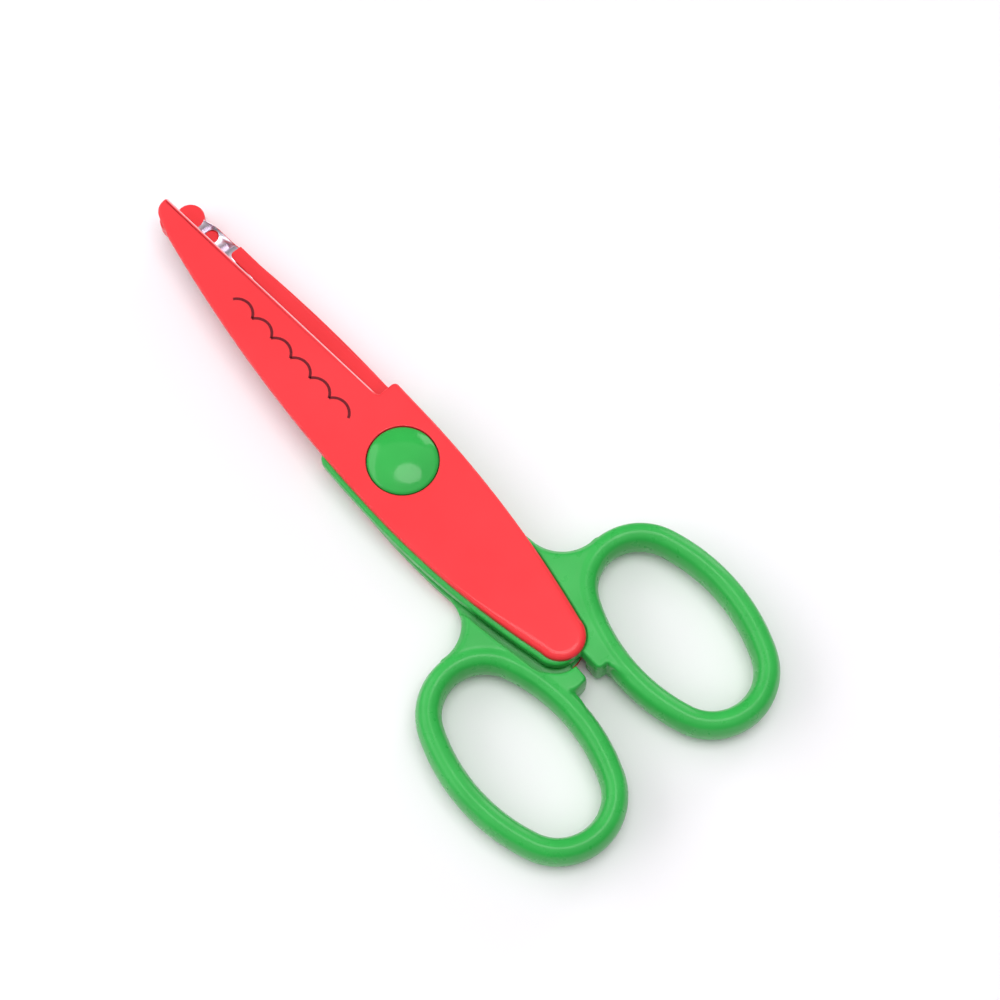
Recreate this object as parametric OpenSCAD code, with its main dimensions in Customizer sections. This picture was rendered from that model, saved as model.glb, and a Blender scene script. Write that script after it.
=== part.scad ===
// Decorative edge scissors: two pivoting levers with wave-shaped steel blades that cut a scalloped edge.
// Origin: on the pivot axis, at the flat back face that the scissors lie on.
// +Y runs from the finger loops to the tips, +X to the front lever's finger loop, +Z out of the front face.
// A lever is drawn closed, with its cover up. The back lever is the same design turned over about the
// Y axis and opened by rest_open, so its wave is the only thing that has to change to nest in the front's.

/* [Overall] */
// Thickness of the scissors from the back cover's face to the front cover's face
thickness = 9; // [8.8:0.1:10]
// How far the back lever stands open of closed, in degrees
rest_open = 2.45; // [0.5:0.05:30]
// Distance from the pivot axis to the blade tips
tip_y = 65; // [64.8:0.1:66]

/* [Covers] */
// Thickness of each cover plate
cover_t = 1.5; // [1.2:0.1:1.6]
// Widest reach of the front cover from the pivot axis to its spine side
front_spine_x = 9.6; // [9.2:0.1:10.2]
// The same reach of the back cover
back_spine_x = 8.2; // [8:0.1:9]
// Width of the line that shows the cut's pattern on the front cover
mark_w = 0.5; // [0.3:0.05:0.8]

/* [Blades] */
// Thickness of the steel sheet
sheet_t = 0.5; // [0.4:0.05:0.5]
// Distance from one cusp of the wave to the next
wave_pitch = 5.05; // [4.9:0.01:5.1]
// Height of the wave from its cusps to its crests
wave_depth = 1.3; // [0.8:0.1:1.4]
// Running gap between the two sheets
sheet_gap = 0.12; // [0.08:0.02:0.2]

/* [Pivot] */
// Radius of the steel rivet
rivet_r = 2; // [1.5:0.1:2.2]
// Running clearance of the back lever on the rivet, on the radius
rivet_clearance = 0.05; // [0.02:0.01:0.1]
// Radius of the dome button on the front
dome_r = 6.1; // [5:0.1:6.4]
// Height of the dome above the front cover
dome_h = 1.4; // [0.8:0.1:2]

/* [Finger loops] */
// Half of the finger hole's width
hole_half_w = 9; // [8.8:0.1:9.2]
// Radius of the finger hole's round ends
end_r = 7.2; // [7:0.1:7.4]
// Width of the loop's rim
rim_w = 4.4; // [4:0.1:4.8]
// Height of the loop's rim
rim_h = 7.8; // [6:0.1:8]

/* [Hidden] */
$fn = 64;

mid_z = thickness / 2;
cover_z = thickness - cover_t;
far = 200;
ease = 0.4;                              // room between a lever and the other lever's body
skin = 0.02;                             // room between faces that slide on each other

// the wave of the blades, on radii about the pivot
wave_r0 = 17.5;
wave_count = 8;
wave_r1 = wave_r0 + wave_count * wave_pitch;
ramp = 1.2;                              // length over which the flat tang steps into the wave

// levels in a lever, above the middle plane
tang_z = mid_z + 0.16;
hub_z = tang_z + sheet_t + skin;
holder_z = mid_z + wave_depth / 2 + sheet_t + 0.1;
band_z = mid_z - wave_depth / 2 + 0.02;   // just over the crests, so the band clears the other hub
pad_z = mid_z + 0.1;
front_stud_z = mid_z + wave_depth / 2 + sheet_gap / 2;
back_stud_z = mid_z - 0.1;

// edge of a lever, from its tail round the cutting side to its spine
tail_c = [-0.7, -40.6];
tail_r = 4.3;
neck_y = 2;
shoulder_y = 11.8;
hub_reach = 14;                          // radius at which the hub ends on the blade side
hub_lip = 0.8;                           // how far the hub shows beyond the cover, on one side
hook = [4.7, shoulder_y];
edge_tip = [1.45, tip_y];
top_left = [-1.2, tip_y];
spine_tip = [-3.1, tip_y - 6];

// holder, and the band that folds over the steel along its spine
holder_y = 12.4;
holder_spine_root = [-7.4, holder_y];
holder_spine_tip = [-3.3, tip_y - 8];
band_y1 = tip_y - 14;                    // bare steel from here to the pad at the tip
edge_insets = [0.9, 1.4];                // from the cover's edge in to the steel, at the hook and the tip
pad_y = tip_y - 3.6;
pad_r = 2.6;
stud_c = [-1, tip_y - 9.2];
stud_r = 1.4;

// finger hole: four arcs about its own centre, tangent to each other. The centres of a side arc and an
// end arc stand 12 and 5 units apart, so the arcs meet where a line of slope 5 in 12 crosses them.
front_loop_c = [15.1, -51.95];
back_loop_c = [16.3, -51.4];
front_tilt = -3;
back_tilt = -1.8;
loop_unit = hole_half_w - end_r;
side_x = 12 * loop_unit;
end_y = 5 * loop_unit;
side_r = 13 * loop_unit + end_r;
fillet_r = 7.6;                          // between the hub and the loop
fillet_turn = 92;

// pegs that hold a cover in its handle
peg_r = 1.5;
peg_h = 1.6;
peg_ys = [-18, -34];

// rivet, washers and caps
tang_r = 7.4;
head_r = 3.4;
head_h = 0.9;
washer_r = 4.4;
washer_t = 0.4;
pocket_z = cover_z - head_h - washer_t - skin;
pocket_r = washer_r + 0.1;
button_hole_r = dome_r + 0.2;
cap_r = 5.6;
cap_hole_r = cap_r + 0.05;

// line that shows the cut's pattern
mark_start = [-2.33, 42.15];
mark_step = [0.08, -5.03];
mark_count = 6;
mark_bulge = 1.45;
mark_h = 0.05;

// what differs between the levers: reach of the spine, reach and bulge of the cutting side's neck, centre
// and tilt of the finger loop, which way the hub's lip stands out, and how far over the tip's pad stands
FRONT = [front_spine_x, 8.6, 1.1, front_loop_c, front_tilt, -hub_lip, 0.1];
BACK = [back_spine_x, 8.7, 1.8, back_loop_c, back_tilt, hub_lip, -0.5];
function spine_x(lever) = lever[0];
function neck_x(lever) = lever[1];
function neck_bulge(lever) = lever[2];
function loop_c(lever) = lever[3];
function loop_tilt(lever) = lever[4];
function lip(lever) = lever[5];
function pad_x(lever) = lever[6];

// ---- outlines: lists of points, anticlockwise, with arcs where the edge is round ----

// points of the arc from p to q that stands s proud of the chord, to the right of the way from p to q
function bow(p, q, s, n = 12) =
    let (c = q - p, l = norm(c), u = c / l, out = [u[1], -u[0]] * sign(s), half = 2 * atan2(2 * abs(s), l))
    let (r = l / 2 / sin(half))
    [for (i = [0 : n]) let (a = half * (2 * i / n - 1))
        (p + q) / 2 + u * r * sin(a) + out * r * (cos(a) - cos(half))];

// points of the round corner of radius r at b, between the lines to a and to c
function corner(a, b, c, r, n = 6) =
    let (u = (a - b) / norm(a - b), v = (c - b) / norm(c - b), h = acos(u * v) / 2)
    let (m = b + (u + v) / norm(u + v) * r / sin(h))
    let (f = b + u * r / tan(h) - m, g = b + v * r / tan(h) - m)
    let (a0 = atan2(f[1], f[0]), turn = atan2(f[0] * g[1] - f[1] * g[0], f * g))
    [for (i = [0 : n]) m + r * [cos(a0 + turn * i / n), sin(a0 + turn * i / n)]];

function reversed(points) = [for (i = [len(points) - 1 : -1 : 0]) points[i]];

// edge of a lever's cover
module cover_outline(lever) {
    tail_left = tail_c - [tail_r, 0];
    tail_right = tail_c + [tail_r, 0];
    neck = [neck_x(lever), neck_y];
    shoulder = [neck_x(lever), shoulder_y];
    spine_mid = [-spine_x(lever), 0];
    polygon(concat(
        bow(tail_left, tail_right, tail_r * 0.98),
        bow(tail_right, neck, neck_bulge(lever)),
        corner(neck, shoulder, hook, 0.9),
        corner(shoulder, hook, edge_tip, 0.7),
        corner(hook, edge_tip, top_left, 0.5),
        corner(edge_tip, top_left, spine_tip, 2.7),
        bow(spine_tip, spine_mid, 1.5),
        bow(spine_mid, tail_left, 1.35)
    ));
}

// the cover's outline with the lip that the green body shows beside it
module body_outline(lever) {
    cover_outline(lever);
    translate([lip(lever), 0]) cover_outline(lever);
}

// the part of a lever's body below the shoulder, where the handle's hub lies
module hub_outline(lever) {
    intersection() {
        body_outline(lever);
        translate([-far / 2, shoulder_y - far]) square(far);
        union() {
            circle(hub_reach, $fn = 180);
            translate([-far / 2, -far]) square(far);
        }
    }
}

// web between the hub, the loop and the stop block, with a round fillet that runs out on the loop's end;
// its other points lie inside the hub and along the middle of the rim
module web_outline(lever) {
    c = loop_c(lever);
    loop_end = c + end_y * [-sin(loop_tilt(lever)), cos(loop_tilt(lever))];
    fillet_c = loop_end + (end_r + rim_w + fillet_r - 0.05) * [cos(fillet_turn), sin(fillet_turn)];
    block_top = [0, -45.2];
    block_low = [0, -49.2];
    block_foot = [3, -49.5];
    hub_side = [neck_x(lever) - 1.7, -21.5];
    polygon(concat(
        [block_top],
        corner(block_top, block_low, block_foot, 1),
        [block_foot, c - [hole_half_w + rim_w / 2 + 0.1, 3]],
        [for (a = [184 : -11.5 : 92]) loop_end + (end_r + rim_w / 2) * [cos(a), sin(a)]],
        [for (i = [0 : 16]) let (a = fillet_turn + 180 - i * (fillet_turn - 2) / 16)
            fillet_c + fillet_r * [cos(a), sin(a)]],
        [hub_side, [4, -21.5], [-1, -40]]
    ));
}

// room that a handle leaves for the other lever's body, above it in this lever's own frame
module other_outline(other) {
    mirror([1, 0]) {
        offset(delta = ease) body_outline(other);
        translate(tail_c - [0, 0.9]) circle(tail_r + 0.3);
    }
}

// outline of the steel, with its round tang at the pivot
module blade_outline() {
    circle(tang_r);
    polygon([
        [-4.5, -3], [3.4, -3], hook - [edge_insets[0], 0], edge_tip - [edge_insets[1], 0],
        holder_spine_tip + [0.5, 0], holder_spine_root + [0.5, 2]
    ]);
}

// outline of the holder: between its spine, the cutting edge and the tip
module holder_outline() {
    edge_root = [hook[0] - 0.7, holder_y];
    edge_top = edge_tip - [0.7, 0.7];
    spine_top = top_left + [0.2, -0.7];
    polygon(concat(
        [holder_spine_root, edge_root],
        corner(edge_root, edge_top, spine_top, 0.4),
        corner(edge_top, spine_top, holder_spine_tip, 1.5),
        [holder_spine_tip]
    ));
}

module band_outline() {
    inner_root = [-4.2, holder_y];
    inner_end = [-1.2, band_y1];
    outer_end = [-3.4, band_y1 - 0.2];
    intersection() {
        holder_outline();
        polygon(concat(
            [holder_spine_root - [9, 9], inner_root - [0, 9], inner_root],
            corner(inner_root, inner_end, outer_end, 0.9),
            [outer_end - [9, 0]]
        ));
    }
}

// round pad at the tip, cut straight along the cutting edge
module pad_outline(lever) {
    intersection() {
        translate([pad_x(lever), pad_y]) circle(pad_r);
        polygon([
            hook - [edge_insets[0], 0], edge_tip - [edge_insets[1], 0],
            top_left - [9, 0], holder_spine_root - [9, 0]
        ]);
    }
}

// ---- parts of a lever, drawn closed with the cover up ----

module plate(z0, z1) {
    translate([0, 0, z0]) linear_extrude(z1 - z0) children();
}

// a cover plate with a round hole over the pivot, and pegs on its inner face
module cover_solid(lever, hole_r) {
    plate(cover_z, thickness) difference() {
        cover_outline(lever);
        circle(hole_r);
    }
    for (y = peg_ys) translate([tail_c[0], y, cover_z - peg_h]) cylinder(r = peg_r, h = peg_h);
}

// radius and height of points along a blade's inner face; sense is 1 on the front lever, -1 on the back
function wave_face(sense, lift) =
    let (base = mid_z - sense * wave_depth / 2 + sheet_gap / 2 + lift)
    concat(
        [[0, tang_z + lift], [wave_r0 - ramp, tang_z + lift]],
        [for (k = [0 : wave_count - 1]) each
            bow([wave_r0 + k * wave_pitch, base], [wave_r0 + (k + 1) * wave_pitch, base], -sense * wave_depth, 8)]
    );

// the steel: a waved sheet of revolution about the pivot, trimmed to the blade's outline; it ends with the
// last wave, short of the pad
module blade_sheet(sense) {
    intersection() {
        rotate_extrude($fn = 180)
            polygon(concat(wave_face(sense, 0), reversed(wave_face(sense, sheet_t))));
        plate(0, thickness) blade_outline();
    }
}

module blade_solid(sense, bore_r) {
    difference() {
        blade_sheet(sense);
        cylinder(r = bore_r, h = thickness);
        translate(stud_c) cylinder(r = stud_r, h = thickness);
    }
}

// plastic holder: a plate behind the steel, a band folded over its spine, a pad at the tip and a stud
module holder_solid(lever, sense, stud_z) {
    difference() {
        union() {
            plate(holder_z, cover_z) holder_outline();
            plate(band_z, cover_z) band_outline();
            plate(pad_z, cover_z) pad_outline(lever);
        }
        blade_sheet(sense);
    }
    plate(stud_z, cover_z) translate(stud_c) circle(stud_r);
}

// rounded rim of the finger loop: tall stadium sections carried round the four arcs
module rim_ring(radius) {
    flat = rim_h - rim_w;
    rotate_extrude($fn = 180) translate([radius + rim_w / 2, mid_z]) {
        square([rim_w, flat], center = true);
        for (s = [-1, 1]) translate([0, s * flat / 2]) circle(rim_w / 2, $fn = 32);
    }
}

module rim_solid(lever) {
    side_up = 10 * [12, 5];
    side_out = 10 * [12, -5];
    translate(concat(loop_c(lever), [0])) rotate([0, 0, loop_tilt(lever)]) {
        for (s = [-1, 1]) translate([-s * side_x, 0, 0]) intersection() {
            rim_ring(side_r);
            plate(0, thickness) polygon([[0, 0], s * side_out, s * side_up]);
        }
        for (s = [-1, 1]) translate([0, s * end_y, 0]) intersection() {
            rim_ring(end_r);
            plate(0, thickness) polygon([[0, 0], s * side_up, [0, s * far], -s * side_out]);
        }
    }
}

// handle: hub under the cover, web, stop block and finger loop
module handle_solid(lever, other, bore_r) {
    web_z1 = mid_z + rim_h / 2 - 0.2;
    difference() {
        union() {
            plate(hub_z, cover_z) hub_outline(lever);
            difference() {
                union() {
                    plate(thickness - web_z1, web_z1) web_outline(lever);
                    rim_solid(lever);
                }
                plate(cover_z, thickness) offset(delta = ease / 2) cover_outline(lever);
                plate(0, hub_z) other_outline(other);
            }
        }
        cylinder(r = bore_r, h = thickness);
        translate([0, 0, pocket_z]) cylinder(r = pocket_r, h = thickness);
        for (y = peg_ys) translate([tail_c[0], y, cover_z - peg_h]) cylinder(r = peg_r, h = thickness);
    }
}

module washer(r0, r1, z0, z1) {
    translate([0, 0, z0]) difference() {
        cylinder(r = r1, h = z1 - z0);
        translate([0, 0, -1]) cylinder(r = r0, h = z1 - z0 + 2);
    }
}

// places a back lever part: turned over about the Y axis, then opened
module turned_over() {
    rotate([0, 0, -rest_open]) translate([0, 0, thickness]) rotate([0, 180, 0]) children();
}

// ---- the pieces ----

module front_cover() {
    color([1, 0.29, 0.32]) cover_solid(FRONT, button_hole_r);
}

// one printed arc for each wave
module front_pattern_mark() {
    color([0.47, 0.1, 0.14]) plate(thickness, thickness + mark_h) for (k = [0 : mark_count - 1]) {
        top = mark_start + k * mark_step;
        low = top + mark_step;
        polygon(concat(
            bow(low - [mark_w / 2, 0], top - [mark_w / 2, 0], mark_bulge),
            reversed(bow(low + [mark_w / 2, 0], top + [mark_w / 2, 0], mark_bulge))
        ));
    }
}

module front_blade_holder() {
    color([0.93, 0.2, 0.24]) holder_solid(FRONT, 1, front_stud_z);
}

module front_blade() {
    color([0.72, 0.71, 0.76]) blade_solid(1, rivet_r);
}

module front_handle() {
    color([0.3, 0.78, 0.38]) handle_solid(FRONT, BACK, rivet_r);
}

module front_pivot_button() {
    ball_r = (dome_r * dome_r + dome_h * dome_h) / (2 * dome_h);
    color([0.25, 0.75, 0.34]) intersection() {
        translate([0, 0, cover_z]) cylinder(r = dome_r, h = cover_t + dome_h);
        translate([0, 0, thickness + dome_h - ball_r]) sphere(ball_r, $fn = 128);
    }
}

module front_rivet_washer() {
    color([0.8, 0.8, 0.82]) washer(rivet_r, washer_r, cover_z - head_h - washer_t, cover_z - head_h);
}

module pivot_rivet() {
    color([0.65, 0.65, 0.68]) {
        translate([0, 0, cover_t]) cylinder(r = rivet_r, h = cover_z - cover_t);
        for (z = [cover_t + skin, cover_z - head_h]) translate([0, 0, z]) cylinder(r = head_r, h = head_h - skin);
    }
}

module pivot_spacer() {
    color([0.9, 0.9, 0.88]) washer(rivet_r, tang_r - 1, thickness - tang_z + skin, tang_z - skin);
}

module back_rivet_washer() {
    color([0.8, 0.8, 0.82]) washer(rivet_r, washer_r, cover_t + head_h, cover_t + head_h + washer_t);
}

module back_pivot_cap() {
    color([0.25, 0.75, 0.34]) turned_over() translate([0, 0, cover_z]) cylinder(r = cap_r, h = cover_t);
}

module back_cover() {
    color([1, 0.29, 0.32]) turned_over() cover_solid(BACK, cap_hole_r);
}

module back_blade_holder() {
    color([0.93, 0.2, 0.24]) turned_over() holder_solid(BACK, -1, back_stud_z);
}

module back_blade() {
    color([0.72, 0.71, 0.76]) turned_over() blade_solid(-1, rivet_r + rivet_clearance);
}

module back_handle() {
    color([0.3, 0.78, 0.38]) turned_over() handle_solid(BACK, FRONT, rivet_r + rivet_clearance);
}

front_cover();
front_pattern_mark();
front_blade_holder();
front_blade();
front_handle();
front_pivot_button();
front_rivet_washer();
pivot_rivet();
pivot_spacer();
back_rivet_washer();
back_pivot_cap();
back_cover();
back_blade_holder();
back_blade();
back_handle();
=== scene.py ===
"""The looks of the decorative edge scissors: moulded loops, rounded covers, waved steel and a domed button.

Shapes are worked out in millimetres in the frame of the CAD model, and become metres when a mesh is made.
A lever is shaped closed, with its cover up. The back lever is the same design turned over and opened.
"""

import math
from typing import NamedTuple

import bpy
import numpy as np
import openvdb
from mathutils import Matrix, Vector
from mathutils.geometry import delaunay_2d_cdt, tessellate_polygon


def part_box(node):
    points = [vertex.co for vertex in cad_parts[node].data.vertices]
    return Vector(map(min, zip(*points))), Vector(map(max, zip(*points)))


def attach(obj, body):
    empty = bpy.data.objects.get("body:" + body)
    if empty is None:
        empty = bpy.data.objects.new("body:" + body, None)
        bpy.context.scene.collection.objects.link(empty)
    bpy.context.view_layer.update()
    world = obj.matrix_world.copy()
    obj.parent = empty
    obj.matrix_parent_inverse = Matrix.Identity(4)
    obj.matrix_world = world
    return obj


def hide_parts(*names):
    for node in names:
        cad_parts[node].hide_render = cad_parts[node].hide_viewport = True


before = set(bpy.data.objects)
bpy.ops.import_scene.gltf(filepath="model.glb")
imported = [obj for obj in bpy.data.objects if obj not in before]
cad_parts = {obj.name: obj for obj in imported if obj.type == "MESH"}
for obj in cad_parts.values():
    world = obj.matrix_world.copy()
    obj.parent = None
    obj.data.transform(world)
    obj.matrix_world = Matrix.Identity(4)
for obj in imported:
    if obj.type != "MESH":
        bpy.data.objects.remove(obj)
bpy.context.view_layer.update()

# ---- sizes, in millimetres and degrees ----

MM = 0.001
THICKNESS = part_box("front_cover")[1].z / MM
TIP_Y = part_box("front_cover")[1].y / MM
DOME_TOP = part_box("front_pivot_button")[1].z / MM
DOME_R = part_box("front_pivot_button")[1].x / MM
CAP_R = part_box("back_pivot_cap")[1].x / MM
REST_OPEN = 2.45

MID_Z = THICKNESS / 2
COVER_T = 1.5
COVER_Z = THICKNESS - COVER_T
EASE = 0.4                       # room between a lever and the other lever's body
SKIN = 0.02                      # room between faces that slide on each other
FIT = 0.05                       # room round a pin or a disc in its hole

SHEET_T = 0.5
SHEET_GAP = 0.12
WAVE_DEPTH = 1.3
WAVE_PITCH = 5.05
WAVE_R0 = 17.5
SHEET_END = 59.3                 # radius at which the steel ends, beside the pad
RAMP = 1.2
TANG_Z = MID_Z + 0.16
TANG_R = 7.4
HUB_Z = TANG_Z + SHEET_T + SKIN

TAIL_C = np.array([-0.7, -40.6])
TAIL_R = 4.3
OTHER_TAIL_C = np.array([0.7, -41.5])  # middle of the room for the other lever's tail
NECK_Y = 2.0
SHOULDER_Y = 11.8
HUB_REACH = 14.0                 # radius at which the hub ends on the blade side
HOOK = np.array([4.7, SHOULDER_Y])
EDGE_TIP = np.array([1.45, TIP_Y])
TOP_LEFT = np.array([-1.2, TIP_Y])
SPINE_TIP = np.array([-3.1, TIP_Y - 6])

HOLDER_Z = MID_Z + WAVE_DEPTH / 2 + SHEET_T + 0.1
HOLDER_Y = 12.4
HOLDER_SPINE_ROOT = np.array([-7.4, HOLDER_Y])
HOLDER_SPINE_TIP = np.array([-3.3, TIP_Y - 8])
BAND_Z = MID_Z - WAVE_DEPTH / 2 + SKIN
BAND_Y1 = TIP_Y - 14
PAD_Z = MID_Z + 0.1
PAD_Y = TIP_Y - 3.6
PAD_R = 2.6
STUD_C = np.array([-1.0, TIP_Y - 9.2])
STUD_R = 1.4

HOLE_HALF_W = 9.0
END_R = 7.2
LOOP_UNIT = HOLE_HALF_W - END_R  # the centres of a side arc and an end arc stand 12 and 5 units apart
SIDE_X = 12 * LOOP_UNIT
END_Y = 5 * LOOP_UNIT
SIDE_R = 13 * LOOP_UNIT + END_R
RIM_W = 4.4
RIM_H = 7.8
WEB_TOP = MID_Z + RIM_H / 2 - 0.25
EDGE_RISE = 2.2                  # height above the middle plane at which the rim starts to slope in
CREST = 1.2                      # distance from the rim's edge in to its crest
FILLET_R = 7.6
FILLET_TURN = 92

RIVET_R = 2.0
POCKET_R = 4.5
POCKET_Z = COVER_Z - 1.32
BUTTON_HOLE_R = DOME_R + 0.2

MARK_START = np.array([-2.33, 42.15])
MARK_STEP = np.array([0.08, -5.03])
MARK_COUNT = 6
MARK_BULGE = 1.45
MARK_W = 0.48
MARK_H = 0.04

HANDLE_STEP = 0.25               # distance between the grid points that a handle is shaped on
HOLDER_STEP = 0.15
SHEET_STEP = 0.9                 # distance between a sheet's points across the blade
POINTS_PER_WAVE = 20


class Lever(NamedTuple):
    body: str
    spine_x: float
    neck_x: float
    neck_bulge: float
    loop_c: tuple
    loop_tilt: float
    lip: float                   # which way and how far the hub stands out from under the cover
    pad_x: float                 # how far over the pad at the tip stands
    sense: int                   # which way the blade's waves swell
    placed: Matrix               # from the lever's own frame to the row frame, in millimetres


TURNED_OVER = (
    Matrix.Rotation(math.radians(-REST_OPEN), 4, "Z")
    @ Matrix.Translation((0, 0, THICKNESS))
    @ Matrix.Rotation(math.pi, 4, "Y")
)
FRONT = Lever(
    body="front_lever", spine_x=9.6, neck_x=8.6, neck_bulge=1.1,
    loop_c=(15.1, -51.95), loop_tilt=-3.0, lip=-0.8, pad_x=0.1, sense=1, placed=Matrix.Identity(4),
)
BACK = Lever(
    body="back_lever", spine_x=8.2, neck_x=8.7, neck_bulge=1.8,
    loop_c=(16.3, -51.4), loop_tilt=-1.8, lip=0.8, pad_x=-0.5, sense=-1, placed=TURNED_OVER,
)

# ---- outlines: arrays of points, anticlockwise ----


def polar(degrees):
    return np.array([math.cos(math.radians(degrees)), math.sin(math.radians(degrees))])


def arc(centre, radius, start, end, spacing=0.3):
    """Points of an arc, from the angle start to the angle end."""
    count = max(6, math.ceil(math.radians(abs(end - start)) * radius / spacing))
    return [np.asarray(centre) + radius * polar(a) for a in np.linspace(start, end, count + 1)]


def bow(p, q, sagitta):
    """Points of the arc from p to q that stands sagitta proud, to the right of the way from p to q."""
    p, q = np.asarray(p, float), np.asarray(q, float)
    length = np.linalg.norm(q - p)
    along = (q - p) / length
    out = np.array([along[1], -along[0]]) * np.sign(sagitta)
    half = 2 * math.atan2(2 * abs(sagitta), length)
    radius = length / 2 / math.sin(half)
    turns = np.linspace(-half, half, max(12, math.ceil(2 * half * radius / 0.6)) + 1)
    middle = (p + q) / 2
    return [middle + along * radius * math.sin(t) + out * radius * (math.cos(t) - math.cos(half))
            for t in turns]


def corner(a, b, c, radius, count=8):
    """Points of the round corner at b, between the lines to a and to c."""
    u = (a - b) / np.linalg.norm(a - b)
    v = (c - b) / np.linalg.norm(c - b)
    half = math.acos(float(u @ v)) / 2
    centre = b + (u + v) / np.linalg.norm(u + v) * radius / math.sin(half)
    start = b + u * radius / math.tan(half) - centre
    end = b + v * radius / math.tan(half) - centre
    angle = math.atan2(start[1], start[0])
    turn = math.atan2(start[0] * end[1] - start[1] * end[0], float(start @ end))
    return [centre + radius * polar(math.degrees(angle + turn * i / count)) for i in range(count + 1)]


def circle(centre, radius, count=96):
    return np.array([np.asarray(centre) + radius * polar(360 * i / count) for i in range(count)])


def distinct(points):
    """The points with the doubled ones at the joins left out."""
    points = np.array(points)
    apart = np.linalg.norm(points - np.roll(points, 1, axis=0), axis=1)
    return points[apart > 1e-4]


def cover_outline(lever):
    tail_left = TAIL_C - [TAIL_R, 0]
    tail_right = TAIL_C + [TAIL_R, 0]
    neck = np.array([lever.neck_x, NECK_Y])
    shoulder = np.array([lever.neck_x, SHOULDER_Y])
    spine_mid = np.array([-lever.spine_x, 0])
    return distinct(
        bow(tail_left, tail_right, TAIL_R * 0.98)
        + bow(tail_right, neck, lever.neck_bulge)
        + corner(neck, shoulder, HOOK, 0.9)
        + corner(shoulder, HOOK, EDGE_TIP, 0.7)
        + corner(HOOK, EDGE_TIP, TOP_LEFT, 0.5)
        + corner(EDGE_TIP, TOP_LEFT, SPINE_TIP, 2.7)
        + bow(SPINE_TIP, spine_mid, 1.5)
        + bow(spine_mid, tail_left, 1.35)
    )


def web_outline(lever):
    """The web between the hub, the loop and the stop block, with its round fillet."""
    loop_c = np.array(lever.loop_c)
    block_top = np.array([0, -45.2])
    block_low = np.array([0, -49.2])
    block_foot = np.array([3, -49.5])
    loop_end = loop_c + END_Y * polar(90 + lever.loop_tilt)
    fillet_c = loop_end + (END_R + RIM_W + FILLET_R - 0.05) * polar(FILLET_TURN)
    rim_middle = END_R + RIM_W / 2
    return distinct(
        [block_top]
        + corner(block_top, block_low, block_foot, 1)
        + [block_foot, loop_c - [HOLE_HALF_W + RIM_W / 2 + 0.1, 3]]
        + arc(loop_end, rim_middle, 184, 92)
        + arc(fillet_c, FILLET_R, FILLET_TURN + 180, 182)
        + [np.array([lever.neck_x - 1.7, -21.5]), np.array([4, -21.5]), np.array([-1, -40])]
    )


def holder_outline():
    edge_root = np.array([HOOK[0] - 0.7, HOLDER_Y])
    edge_top = EDGE_TIP - [0.7, 0.7]
    spine_top = TOP_LEFT + [0.2, -0.7]
    return distinct(
        [HOLDER_SPINE_ROOT, edge_root]
        + corner(edge_root, edge_top, spine_top, 0.4)
        + corner(edge_top, spine_top, HOLDER_SPINE_TIP, 1.5)
        + [HOLDER_SPINE_TIP]
    )


def band_outline():
    inner_root = np.array([-4.2, HOLDER_Y])
    inner_end = np.array([-1.2, BAND_Y1])
    outer_end = np.array([-3.4, BAND_Y1 - 0.2])
    return distinct(
        [HOLDER_SPINE_ROOT - [9, 9], inner_root - [0, 9], inner_root]
        + corner(inner_root, inner_end, outer_end, 0.9)
        + [outer_end - [9, 0]]
    )


def blade_outline():
    return np.array([
        [-4.5, -3], [3.4, -3], HOOK - [0.9, 0], EDGE_TIP - [1.4, 0],
        HOLDER_SPINE_TIP + [0.5, 0], HOLDER_SPINE_ROOT + [0.5, 2],
    ])


# ---- solid fields: the distance to a surface at the points of a grid, negative inside ----


class Grid:
    """Evenly spaced sample points that fill a box."""

    def __init__(self, low, high, step):
        self.low = np.array(low, float)
        self.step = step
        counts = np.ceil((np.array(high) - self.low) / step).astype(int) + 1
        x, y, z = (self.low[i] + step * np.arange(counts[i]) for i in range(3))
        self.x = x[:, None, None]
        self.y = y[None, :, None]
        self.z = z[None, None, :]

    def outline(self, points):
        """Distance in the plane to a closed outline."""
        nearest = np.full(np.broadcast(self.x, self.y).shape, np.inf)
        inside = np.zeros(nearest.shape, bool)
        for a, b in zip(points, np.roll(points, -1, axis=0)):
            dx, dy = self.x - a[0], self.y - a[1]
            ex, ey = b - a
            t = np.clip((dx * ex + dy * ey) / (ex * ex + ey * ey), 0, 1)
            nearest = np.minimum(nearest, (dx - t * ex) ** 2 + (dy - t * ey) ** 2)
            if ey:
                crosses = (self.y >= min(a[1], b[1])) & (self.y < max(a[1], b[1]))
                inside ^= crosses & (self.x < a[0] + (self.y - a[1]) * ex / ey)
        return np.where(inside, -1, 1) * np.sqrt(nearest)

    def disc(self, centre, radius):
        return np.hypot(self.x - centre[0], self.y - centre[1]) - radius

    def between(self, flat, low, high, round_low=0.0, round_high=0.0):
        """The plane shape flat carried from one height to another, with rounded edges."""
        top = both(flat, self.z - high, round_high)
        return both(top, low - self.z, round_low)


def both(a, b, radius=0.0):
    """Where both solids are, with its outer edges rounded."""
    rounded = np.hypot(np.maximum(a + radius, 0), np.maximum(b + radius, 0))
    return np.minimum(np.maximum(a, b), -radius) + rounded


def either(a, b, radius=0.0):
    """Where either solid is, with a fillet of that radius in the inner edges."""
    return -both(-a, -b, radius)


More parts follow.
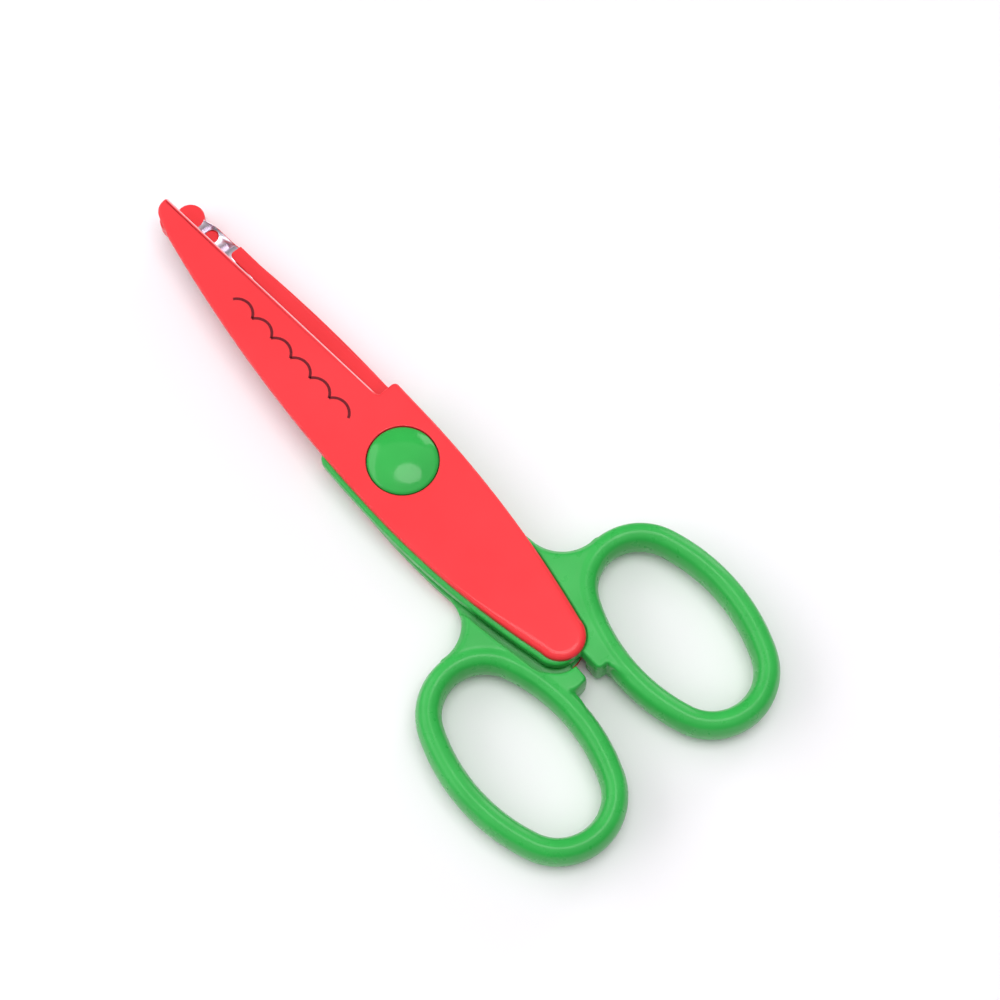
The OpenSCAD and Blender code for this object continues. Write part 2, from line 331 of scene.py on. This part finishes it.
def loop_hole(grid, lever):
    """Distance to the finger hole's wall: four tangent arcs."""
    turn = math.radians(-lever.loop_tilt)
    dx, dy = grid.x - lever.loop_c[0], grid.y - lever.loop_c[1]
    x = np.abs(dx * math.cos(turn) - dy * math.sin(turn))
    y = np.abs(dx * math.sin(turn) + dy * math.cos(turn))
    by_side = 12 * y < 5 * (x + SIDE_X)
    return np.where(by_side, np.hypot(x + SIDE_X, y) - SIDE_R, np.hypot(x, y - END_Y) - END_R)


def bevelled(grid, depth, half_h, soft, steeper=1.0):
    """A moulding that slopes up to its crest from its edge, the same above and below the middle plane."""
    up = np.abs(grid.z - MID_Z)
    slope = np.array([CREST, RIM_H / 2 - EDGE_RISE])
    slope /= np.linalg.norm(slope)
    bevel = (up - EDGE_RISE) * slope[0] - depth * steeper * slope[1]
    return both(both(-depth, bevel, soft), up - half_h, soft)


def handle_field(grid, lever, other):
    """Hub under the cover, web, stop block and finger loop, with room for the covers."""
    own = grid.outline(cover_outline(lever))
    body = np.minimum(own, grid.outline(cover_outline(lever) + [lever.lip, 0]))
    across = cover_outline(other)
    rest = (across * [-1, 1])[::-1]
    room = np.minimum(grid.outline(rest), grid.outline(rest - [other.lip, 0])) - EASE
    room = np.minimum(room, grid.disc(OTHER_TAIL_C, TAIL_R + 0.3))

    hole = loop_hole(grid, lever)
    rim = bevelled(grid, np.minimum(hole, RIM_W - hole), RIM_H / 2, 1.0)
    web = grid.outline(web_outline(lever))
    outer = np.minimum(hole - RIM_W, web)
    by_block = np.clip((3.5 - grid.x) / 1.5, 0, 1) * np.clip((-42 - grid.y) / 2, 0, 1)
    plateau = bevelled(grid, np.minimum(hole, -outer), WEB_TOP - MID_Z, 0.3, 1 + 3 * by_block)
    loop = np.minimum(both(plateau, web - 1, 0.8), rim)
    loop = both(loop, -grid.between(own - EASE / 2, COVER_Z, 99), 0.2)
    loop = both(loop, -grid.between(room, -99, HUB_Z), 0.25)

    reach = np.minimum(np.hypot(grid.x, grid.y) - HUB_REACH, grid.y)
    hub = both(both(body, grid.y - SHOULDER_Y, 0.3), reach, 0.5)
    hub = grid.between(hub, HUB_Z, COVER_Z, 0.35, 0.6)
    solid = either(hub, loop, 0.3)
    bore = grid.disc([0, 0], RIVET_R + FIT)
    pocket = grid.between(grid.disc([0, 0], POCKET_R), POCKET_Z, 99)
    return np.maximum(solid, -np.minimum(bore, pocket))


def wave(radius, sense):
    """Height of a blade's inner face at a distance from the pivot."""
    base = MID_Z - sense * WAVE_DEPTH / 2 + SHEET_GAP / 2
    arc_r = (WAVE_PITCH ** 2 / 4 + WAVE_DEPTH ** 2) / (2 * WAVE_DEPTH)
    off_crest = (np.maximum(radius - WAVE_R0, 0) % WAVE_PITCH) - WAVE_PITCH / 2
    swell = np.sqrt(arc_r ** 2 - off_crest ** 2) - (arc_r - WAVE_DEPTH)
    ease_in = np.clip((radius - WAVE_R0 + RAMP) / RAMP, 0, 1)
    flat = TANG_Z + (base - TANG_Z) * ease_in
    return np.where(radius > WAVE_R0, base + sense * swell, flat)


def holder_field(grid, lever):
    """Plate behind the steel, band folded over its spine, pad and stud at the tip."""
    outline = grid.outline(holder_outline())
    plate = grid.between(outline, HOLDER_Z, COVER_Z, 0.15, 0.0)
    band = grid.between(both(outline, grid.outline(band_outline())), BAND_Z, COVER_Z, 0.15, 0.0)
    edge_root, edge_end = blade_outline()[2:4]
    cutting_side = np.array([edge_root, edge_end, TOP_LEFT - [9, 0], HOLDER_SPINE_ROOT - [9, 0]])
    pad = both(grid.disc((lever.pad_x, PAD_Y), PAD_R), grid.outline(cutting_side), 0.2)
    pad = grid.between(pad, PAD_Z, COVER_Z, 0.35, 0.0)
    body = either(either(plate, band, 0.2), pad, 0.2)
    stud_z = MID_Z + WAVE_DEPTH / 2 + SHEET_GAP / 2 if lever.sense > 0 else MID_Z - 0.1
    stud = grid.between(grid.disc(STUD_C, STUD_R), stud_z, COVER_Z, 0.4, 0.0)
    return np.minimum(body, stud)


# ---- meshes ----


def add_piece(name, points, faces, lever, node, material, sharp=None, facing=None):
    """A piece of a lever, from points and the way they face in the lever's own frame, in millimetres."""
    mesh = bpy.data.meshes.new(name)
    mesh.from_pydata([tuple(p) for p in points], [], [tuple(f) for f in faces])
    mesh.transform(Matrix.Scale(MM, 4) @ lever.placed)
    mesh.validate()
    mesh.shade_smooth()
    if sharp:
        mesh.set_sharp_from_angle(angle=math.radians(sharp))
    if facing is not None:
        mesh.normals_split_custom_set_from_vertices(facing @ np.array(lever.placed)[:3, :3].T)
    mesh.materials.append(material)
    piece = bpy.data.objects.new(name, mesh)
    bpy.context.collection.objects.link(piece)
    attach(piece, lever.body)
    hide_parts(node)
    return piece


def sample(values, where):
    """Values of a grid at places between its points, by linear blending."""
    last = np.array(values.shape[:3]) - 2
    cell = np.clip(np.floor(where).astype(int), 0, last)
    part = where - cell
    total = 0
    for corner_of_cell in np.ndindex(2, 2, 2):
        weight = np.prod(np.where(corner_of_cell, part, 1 - part), axis=1)
        at = values[tuple((cell + corner_of_cell).T)]
        total = total + (weight[:, None] * at if at.ndim == 2 else weight * at)
    return total


def field_mesh(grid, field):
    """Points and faces of the surface where a field is zero, and the way the points face."""
    volume = openvdb.FloatGrid(background=float(field.max()))
    volume.copyFromArray(np.ascontiguousarray(field, np.float32))
    points, quads = volume.convertToQuads(isovalue=0.0)
    gradient = np.stack(np.gradient(field), axis=-1)
    for _ in range(2):               # settles the points on the surface
        slope = sample(gradient, points)
        steepness = np.maximum((slope ** 2).sum(axis=1), 0.25 * grid.step ** 2)
        points = points - np.clip(sample(field, points) / steepness, -1, 1)[:, None] * slope
    slope = sample(gradient, points)
    return grid.low + grid.step * points, quads, slope / np.linalg.norm(slope, axis=1)[:, None]


def inset(points, distance):
    """An outline moved inwards by a distance, or by one distance for each point."""
    before = points - np.roll(points, 1, axis=0)
    after = np.roll(points, -1, axis=0) - points
    before /= np.linalg.norm(before, axis=1)[:, None]
    after /= np.linalg.norm(after, axis=1)[:, None]
    inward = np.stack([-(before + after)[:, 1], (before + after)[:, 0]], axis=1)
    inward /= np.linalg.norm(inward, axis=1)[:, None]
    miter = np.abs(inward[:, 0] * -before[:, 1] + inward[:, 1] * before[:, 0])
    return points + inward * (np.broadcast_to(distance, len(points)) / miter)[:, None]


class Surface:
    """Points and faces gathered ring by ring."""

    def __init__(self):
        self.points = []
        self.faces = []

    def ring(self, flat, height):
        """Adds a ring of points and returns their numbers."""
        first = len(self.points)
        heights = np.broadcast_to(height, len(flat))
        self.points += [(p[0], p[1], h) for p, h in zip(flat, heights)]
        return list(range(first, len(self.points)))

    def loft(self, rings):
        for low, high in zip(rings, rings[1:]):
            for i in range(len(low)):
                j = (i + 1) % len(low)
                self.faces.append((low[i], low[j], high[j], high[i]))

    def cap(self, rings, upwards):
        """Fills the flat area inside the first ring and outside the others."""
        loops = [[Vector(self.points[i]) for i in ring] for ring in rings]
        numbers = [i for ring in rings for i in ring]
        for a, b, c in tessellate_polygon(loops):
            p, q, r = (np.array(self.points[numbers[i]]) for i in (a, b, c))
            facing_up = np.cross(q - p, r - p)[2] > 0
            tri = (a, b, c) if facing_up == upwards else (a, c, b)
            self.faces.append(tuple(numbers[i] for i in tri))


def edge_profile(low, high, low_cut, high_round, steps=8):
    """(inset, height) from the lower face up to the upper one: a small cut, the wall and an oval edge."""
    drop = 0.6 * high_round
    profile = [(low_cut, low), (0, low + low_cut), (0, high - drop)]
    for i in range(1, steps + 1):
        a = math.pi / 2 * i / steps
        profile.append((high_round * (1 - math.cos(a)), high - drop * (1 - math.sin(a))))
    profile.append((high_round + 0.06, high))
    return profile


def cover_piece(lever, node, hole_r, crisp, material):
    """The cover plate: crisp along the blade, rounder towards the tail, with a hole over the pivot."""
    outline = cover_outline(lever)
    tail = np.clip((-22 - outline[:, 1]) / 18, 0, 1)
    edge_round = crisp + (1.4 - crisp) * tail ** 2 * (3 - 2 * tail)
    surface = Surface()
    outer = [surface.ring(inset(outline, d), h)
             for d, h in edge_profile(COVER_Z, THICKNESS, 0.12, edge_round)]
    inner = [surface.ring(circle([0, 0], hole_r + d), h)
             for d, h in edge_profile(COVER_Z, THICKNESS, 0.1, 0.18, 4)]
    surface.loft(outer)
    surface.loft([ring[::-1] for ring in inner])
    surface.cap([outer[-1], inner[-1]], True)
    surface.cap([outer[0], inner[0]], False)
    return add_piece(node + "_plate", surface.points, surface.faces,
                     lever, node, material, sharp=35)


def handle_piece(lever, other, node, material):
    grid = Grid([-11, -73.5, 0], [31.5, SHOULDER_Y + 0.7, THICKNESS], HANDLE_STEP)
    points, faces, facing = field_mesh(grid, handle_field(grid, lever, other))
    return add_piece(node + "_moulding", points, faces,
                     lever, node, material, facing=facing)


def holder_piece(lever, node, material):
    grid = Grid([-9, HOLDER_Y - 0.6, BAND_Z - 0.4], [6, TIP_Y + 0.5, COVER_Z + 0.4], HOLDER_STEP)
    points, faces, _ = field_mesh(grid, holder_field(grid, lever))
    return add_piece(node + "_moulding", points, faces, lever, node, material)


def blade_piece(lever, node, bore_r, material):
    """The waved sheet, cut to its outline with its tang, its bore and the stud's hole.

    Its sides run straight between the outline's points, so they don't follow the wave.
    """
    beyond = np.array(arc([0, 0], SHEET_END, 96, 84) + [np.array([8, 90]), np.array([-8, 90])])
    stud = circle(STUD_C, STUD_R, 32)
    pad = circle((lever.pad_x, PAD_Y), PAD_R, 64)
    loops = [blade_outline(), circle([0, 0], TANG_R), circle([0, 0], bore_r, 48), stud, pad, beyond]
    radii = np.arange(WAVE_R0 - RAMP, SHEET_END, WAVE_PITCH / POINTS_PER_WAVE)
    across = np.arange(-7.5, 5.5, SHEET_STEP)
    spare = [r * polar(a) for r in radii for a in 90 + np.degrees(across / r)]
    points = [Vector(p) for loop in loops for p in loop] + [Vector(p) for p in spare]
    starts = np.cumsum([0] + [len(loop) for loop in loops])
    rings = [list(range(a, b)) for a, b in zip(starts, starts[1:])]
    flat, _, triangles, _, _, origins = delaunay_2d_cdt(points, [], rings, 1, 1e-5)
    kept = [t for t, source in zip(triangles, origins)
            if {0, 1} & set(source) and max(source) < 2]
    flat = np.array([tuple(p) for p in flat])
    inner = wave(np.hypot(flat[:, 0], flat[:, 1]), lever.sense)
    count = len(flat)
    sheet = [(p[0], p[1], z + rise) for rise in (0, SHEET_T) for p, z in zip(flat, inner)]
    edges = {(t[i], t[(i + 1) % 3]) for t in kept for i in range(3)}
    rim_edges = [(a, b) for a, b in edges if (b, a) not in edges]
    faces = [tuple(reversed(t)) for t in kept] + [tuple(i + count for i in t) for t in kept]
    faces += [(a, b, b + count, a + count) for a, b in rim_edges]
    used = sorted({i for f in faces for i in f})
    number = {old: new for new, old in enumerate(used)}
    return add_piece(node + "_sheet", [sheet[i] for i in used], [[number[i] for i in f] for f in faces],
                     lever, node, material, sharp=50)


def lathe(profile, count=96):
    """Surface of (radius, height) points turned about the pivot; the first and last lie on the axis."""
    surface = Surface()
    rings = [surface.ring(circle([0, 0], r, count), h) for r, h in profile[1:-1]]
    surface.loft(rings)
    for (radius, height), ring, up in ((profile[0], rings[0], False), (profile[-1], rings[-1], True)):
        middle = surface.ring([[0, 0]], height)[0]
        for i in range(count):
            pair = (ring[i], ring[(i + 1) % count])
            surface.faces.append((*pair, middle) if up else (*pair[::-1], middle))
    return surface


def button_piece(material):
    """The dome over the rivet, with a skirt that stands in the cover's hole."""
    ball_r = (DOME_R ** 2 + (DOME_TOP - THICKNESS) ** 2) / (2 * (DOME_TOP - THICKNESS))
    lip = 0.25
    profile = [(0, COVER_Z), (DOME_R - 0.1, COVER_Z), (DOME_R, COVER_Z + 0.1), (DOME_R, THICKNESS - lip)]
    profile += [(DOME_R - lip * (1 - math.cos(a)), THICKNESS - lip * (1 - math.sin(a)) + 0.02)
                for a in np.radians([20, 40, 60])]
    radii = np.linspace(DOME_R - lip, 0.25, 28)
    profile += [(r, DOME_TOP - ball_r + math.sqrt(ball_r ** 2 - r ** 2)) for r in radii] + [(0, DOME_TOP)]
    surface = lathe(profile)
    return add_piece("front_pivot_button_dome", surface.points, surface.faces, FRONT,
                     "front_pivot_button", material, sharp=50)


def cap_piece(material):
    """The flush cap at the back, with a shallow dish and a rounded edge."""
    profile = [(0, COVER_Z), (CAP_R - 0.1, COVER_Z), (CAP_R, COVER_Z + 0.1), (CAP_R, THICKNESS - 0.2)]
    profile += [(CAP_R - 0.2 * (1 - math.cos(a)), THICKNESS - 0.2 * (1 - math.sin(a)))
                for a in np.radians([30, 60, 90])]
    profile += [(CAP_R - 0.9, THICKNESS), (CAP_R - 1.2, THICKNESS - 0.15), (CAP_R - 1.6, THICKNESS - 0.2)]
    profile += [(r, THICKNESS - 0.2) for r in (2.5, 0.5)] + [(0, THICKNESS - 0.2)]
    surface = lathe(profile)
    return add_piece("back_pivot_cap_disc", surface.points, surface.faces, BACK,
                     "back_pivot_cap", material, sharp=40)


def mark_piece(material):
    """The printed scallops: one ribbon that follows an arc for each wave."""
    surface = Surface()
    for k in range(MARK_COUNT):
        top = MARK_START + k * MARK_STEP
        low = top + MARK_STEP
        stroke = np.array(bow(low, top, MARK_BULGE)[::-1])
        along = np.gradient(stroke, axis=0)
        along /= np.linalg.norm(along, axis=1)[:, None]
        side = np.stack([-along[:, 1], along[:, 0]], axis=1) * MARK_W / 2
        edges = [surface.ring(stroke + s * side, h) for s, h in
                 ((-1, THICKNESS), (1, THICKNESS), (1, THICKNESS + MARK_H), (-1, THICKNESS + MARK_H))]
        sections = [[ring[i] for ring in edges] for i in range(len(stroke))]
        surface.loft(sections)
        surface.faces += [tuple(sections[0][::-1]), tuple(sections[-1])]
    return add_piece("front_pattern_mark_print", surface.points, surface.faces, FRONT,
                     "front_pattern_mark", material, sharp=40)


# ---- materials ----


class Paint:
    """A material's node tree, with short calls for the nodes that this scene uses."""

    def __init__(self, name, roughness, metallic=0.0):
        self.material = bpy.data.materials.new(name)
        self.material.use_nodes = True
        self.tree = self.material.node_tree
        self.shader = self.tree.nodes["Principled BSDF"]
        self.shader.inputs["Roughness"].default_value = roughness
        self.shader.inputs["Metallic"].default_value = metallic
        coordinates = self.tree.nodes.new("ShaderNodeTexCoord")
        self.place = coordinates.outputs["Object"]
        self.facing = coordinates.outputs["Normal"]

    def node(self, kind, links=(), **values):
        made = self.tree.nodes.new(kind)
        for key, value in values.items():
            setattr(made, key, value)
        for socket, source in dict(links).items():
            if isinstance(source, bpy.types.NodeSocket):
                self.tree.links.new(source, made.inputs[socket])
            else:
                made.inputs[socket].default_value = source
        return made

    def stretched(self, scale):
        return self.node("ShaderNodeMapping", {"Vector": self.place, "Scale": scale}).outputs["Vector"]

    def noise(self, size_mm, detail=3.0, place=None):
        """Noise whose features are about size_mm across."""
        links = {"Vector": place or self.place, "Scale": 1 / (size_mm * MM), "Detail": detail}
        return self.node("ShaderNodeTexNoise", links).outputs["Fac"]

    def spread(self, source, low, high, reach=(0.3, 0.7)):
        """Takes the source from its reach to the range from low to high."""
        ends = {"From Min": reach[0], "From Max": reach[1], "To Min": low, "To Max": high}
        return self.node("ShaderNodeMapRange", {"Value": source, **ends}).outputs["Result"]

    def colours(self, source, first, second):
        """A colour between two, by a value from 0 to 1."""
        start = self.node("ShaderNodeRGB").outputs["Color"]
        start.default_value = (*first, 1)
        return self.mixed(source, start, second)

    def mixed(self, source, under, over):
        """A colour laid over another one, by a value from 0 to 1."""
        mix = self.node("ShaderNodeMix", data_type="RGBA")
        sockets = {s.identifier: s for s in mix.inputs}
        self.tree.links.new(source, sockets["Factor_Float"])
        self.tree.links.new(under, sockets["A_Color"])
        sockets["B_Color"].default_value = (*over, 1)
        return next(s for s in mix.outputs if s.identifier == "Result_Color")

    def above(self, source, limit, width):
        """Rises from 0 to 1 where a value passes a limit."""
        return self.spread(source, 0, 1, (limit, limit + width))

    def times(self, first, second):
        return self.node("ShaderNodeMath", {0: first, 1: second}, operation="MULTIPLY").outputs["Value"]

    def bump(self, source, depth_mm, under=None):
        links = {"Height": source, "Strength": 1.0, "Distance": depth_mm * MM}
        made = self.node("ShaderNodeBump", links)
        if under:
            self.tree.links.new(under, made.inputs["Normal"])
        return made.outputs["Normal"]

    def set(self, **sources):
        for name, source in sources.items():
            self.tree.links.new(source, self.shader.inputs[name.replace("_", " ")])


def painted_edge_highlight(paint):
    """The narrow slope along the front cover's cutting edge, where a pale painted highlight stands in for
    the light it catches.
    """
    normal = paint.node("ShaderNodeSeparateXYZ", {0: paint.facing}).outputs
    place = paint.node("ShaderNodeSeparateXYZ", {0: paint.place}).outputs
    slope = paint.times(paint.above(normal["X"], 0.25, 0.2), paint.above(normal["Z"], 0.35, 0.2))
    beyond_hub = paint.above(place["Y"], 12.5 * MM, 1 * MM)
    on_cover = paint.above(place["Z"], 8.2 * MM, 0.1 * MM)
    return paint.times(slope, paint.times(beyond_hub, on_cover))


def red_plastic():
    paint = Paint("red_plastic", 0.42)
    paint.shader.inputs["Specular IOR Level"].default_value = 0.1
    paint.shader.inputs["Coat Weight"].default_value = 0.35
    paint.shader.inputs["Coat Roughness"].default_value = 0.14
    cloudy = paint.spread(paint.noise(14, 2), 0, 1)
    plain = paint.colours(cloudy, (0.84, 0.034, 0.043), (0.88, 0.040, 0.050))
    grain = paint.noise(0.22, 2)
    paint.set(
        # the cutting edge's slope is mixed to pale pink: a painted highlight, not wear
        Base_Color=paint.mixed(painted_edge_highlight(paint), plain, (0.90, 0.42, 0.45)),
        Roughness=paint.spread(paint.noise(3, 4), 0.40, 0.50),
        Normal=paint.bump(grain, 0.004),
    )
    return paint.material


def green_plastic(name, roughness):
    paint = Paint(name, roughness)
    paint.shader.inputs["Specular IOR Level"].default_value = 0.3
    cloudy = paint.spread(paint.noise(9, 2), 0, 1)
    sink = paint.bump(paint.noise(5.5, 1.5), 0.12)
    paint.set(
        Base_Color=paint.colours(cloudy, (0.030, 0.400, 0.066), (0.038, 0.450, 0.078)),
        Roughness=paint.spread(paint.noise(2.5, 4), roughness - 0.05, roughness + 0.05),
        Normal=paint.bump(paint.noise(0.8, 2), 0.002, sink),
    )
    return paint.material


def blade_steel():
    """Fine lines drawn out along the blade."""
    paint = Paint("blade_steel", 0.38, 1.0)
    lines = paint.noise(1.0, 6, paint.stretched((6, 0.35, 6)))
    cloudy = paint.spread(paint.noise(6, 3), 0, 1)
    paint.set(
        Base_Color=paint.colours(cloudy, (0.66, 0.59, 0.68), (0.78, 0.71, 0.80)),
        Roughness=paint.spread(lines, 0.31, 0.46),
        Normal=paint.bump(lines, 0.006),
    )
    return paint.material


def turned_steel():
    """Fine rings about the pivot, as left by a lathe."""
    paint = Paint("turned_steel", 0.3, 1.0)
    rings = paint.node("ShaderNodeTexWave", {"Vector": paint.place, "Scale": 1100.0, "Distortion": 1.5},
                       wave_type="RINGS", rings_direction="Z").outputs["Fac"]
    paint.set(
        Base_Color=paint.colours(paint.noise(2, 3), (0.52, 0.52, 0.54), (0.66, 0.66, 0.68)),
        Roughness=paint.spread(paint.noise(1.2, 4), 0.24, 0.36),
        Normal=paint.bump(rings, 0.006),
    )
    return paint.material


def print_ink():
    paint = Paint("print_ink", 0.5)
    paint.shader.inputs["Specular IOR Level"].default_value = 0.15
    patchy = paint.spread(paint.noise(0.35, 3), 0, 1)
    paint.set(
        Base_Color=paint.colours(patchy, (0.13, 0.008, 0.014), (0.18, 0.011, 0.019)),
        Roughness=paint.spread(paint.noise(0.5, 2), 0.42, 0.58),
    )
    return paint.material


def natural_plastic():
    paint = Paint("natural_plastic", 0.4)
    paint.set(
        Base_Color=paint.colours(paint.noise(3, 3), (0.72, 0.71, 0.66), (0.80, 0.79, 0.75)),
        Roughness=paint.spread(paint.noise(1, 3), 0.34, 0.46),
    )
    return paint.material


def pale_floor():
    paint = Paint("pale_floor", 0.7)
    paint.set(
        Base_Color=paint.colours(paint.noise(60, 2), (0.888, 0.862, 0.896), (0.902, 0.877, 0.908)),
    )
    return paint.material


# ---- the scissors ----

red = red_plastic()
green = green_plastic("green_plastic", 0.3)
polished_green = green_plastic("polished_green_plastic", 0.13)
steel = blade_steel()

for lever, other, side in ((FRONT, BACK, "front"), (BACK, FRONT, "back")):
    hole_r = BUTTON_HOLE_R if lever is FRONT else CAP_R + FIT
    bore_r = RIVET_R if lever is FRONT else RIVET_R + FIT
    crisp = 0.6 if lever is FRONT else 0.9
    cover_piece(lever, side + "_cover", hole_r, crisp, red)
    handle_piece(lever, other, side + "_handle", green)
    holder_piece(lever, side + "_blade_holder", red)
    blade_piece(lever, side + "_blade", bore_r, steel)
button_piece(polished_green)
cap_piece(polished_green)
mark_piece(print_ink())

turned = turned_steel()
small_parts = {"pivot_rivet": turned, "front_rivet_washer": turned, "back_rivet_washer": turned,
               "pivot_spacer": natural_plastic()}
for node, material in small_parts.items():
    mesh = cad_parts[node].data
    mesh.materials.clear()
    mesh.materials.append(material)

# ---- floor, light and camera; right and up are as the camera sees them ----

VIEW_TURN = 41.8                 # the blades point this far anticlockwise of straight up in the view
VIEW_ELEVATION = 70.5
VIEW_DISTANCE = 435.0
VIEW_TARGET = Vector((9.68, -13.93, 0.0))
PIXELS_PER_MM = 5.8
IMAGE_WIDTH = 1000               # in pixels
RIGHT = Vector((*polar(-VIEW_TURN), 0))
UP = Vector((*polar(90 - VIEW_TURN), 0))


def looking(location, target):
    return (target - location).to_track_quat("-Z", "Y").to_euler()


def add_camera():
    camera = bpy.data.objects.new("camera", bpy.data.cameras.new("camera"))
    elevation = math.radians(VIEW_ELEVATION)
    back = -UP * math.cos(elevation) + Vector((0, 0, math.sin(elevation)))
    camera.location = (VIEW_TARGET + back * VIEW_DISTANCE) * MM
    camera.rotation_euler = looking(camera.location, VIEW_TARGET * MM)
    camera.data.sensor_width = 36
    camera.data.lens = camera.data.sensor_width * PIXELS_PER_MM * VIEW_DISTANCE / IMAGE_WIDTH
    camera.data.clip_start = 0.01
    bpy.context.collection.objects.link(camera)
    bpy.context.scene.camera = camera


def add_softbox(name, right, up, height, width, depth, watts, shape="RECTANGLE"):
    """A soft area light, placed in metres from the pivot, facing it and level with the picture."""
    data = bpy.data.lights.new(name, "AREA")
    data.shape = shape
    data.size = width
    data.size_y = depth
    data.energy = watts
    light = bpy.data.objects.new(name, data)
    light.location = RIGHT * right + UP * up + Vector((0, 0, height))
    back = light.location.normalized()
    across = UP.cross(back).normalized()
    light.rotation_euler = Matrix((across, back.cross(across), back)).transposed().to_euler()
    bpy.context.collection.objects.link(light)


def add_floor():
    mesh = bpy.data.meshes.new("floor")
    reach = 3.0
    mesh.from_pydata([(-reach, -reach, 0), (reach, -reach, 0), (reach, reach, 0), (-reach, reach, 0)],
                     [], [(0, 1, 2, 3)])
    mesh.materials.append(pale_floor())
    floor = bpy.data.objects.new("floor", mesh)
    bpy.context.collection.objects.link(floor)


def add_world():
    world = bpy.data.worlds.new("studio")
    world.use_nodes = True
    backdrop = world.node_tree.nodes["Background"]
    backdrop.inputs["Color"].default_value = (0.97, 0.98, 1.0, 1)
    backdrop.inputs["Strength"].default_value = 0.11
    bpy.context.scene.world = world


add_camera()
add_floor()
add_world()
add_softbox("ceiling", 0.0, 0.0, 1.3, 2.6, 2.6, 15.5)
add_softbox("key", 0.10, -0.04, 1.0, 0.72, 0.50, 4.2, "ELLIPSE")
add_softbox("left", -0.85, 0.1, 0.6, 0.5, 1.6, 6.0)
add_softbox("right", 0.8, 1.25, 0.45, 1.0, 0.5, 6.0)
bpy.context.scene.view_settings.view_transform = "Standard"
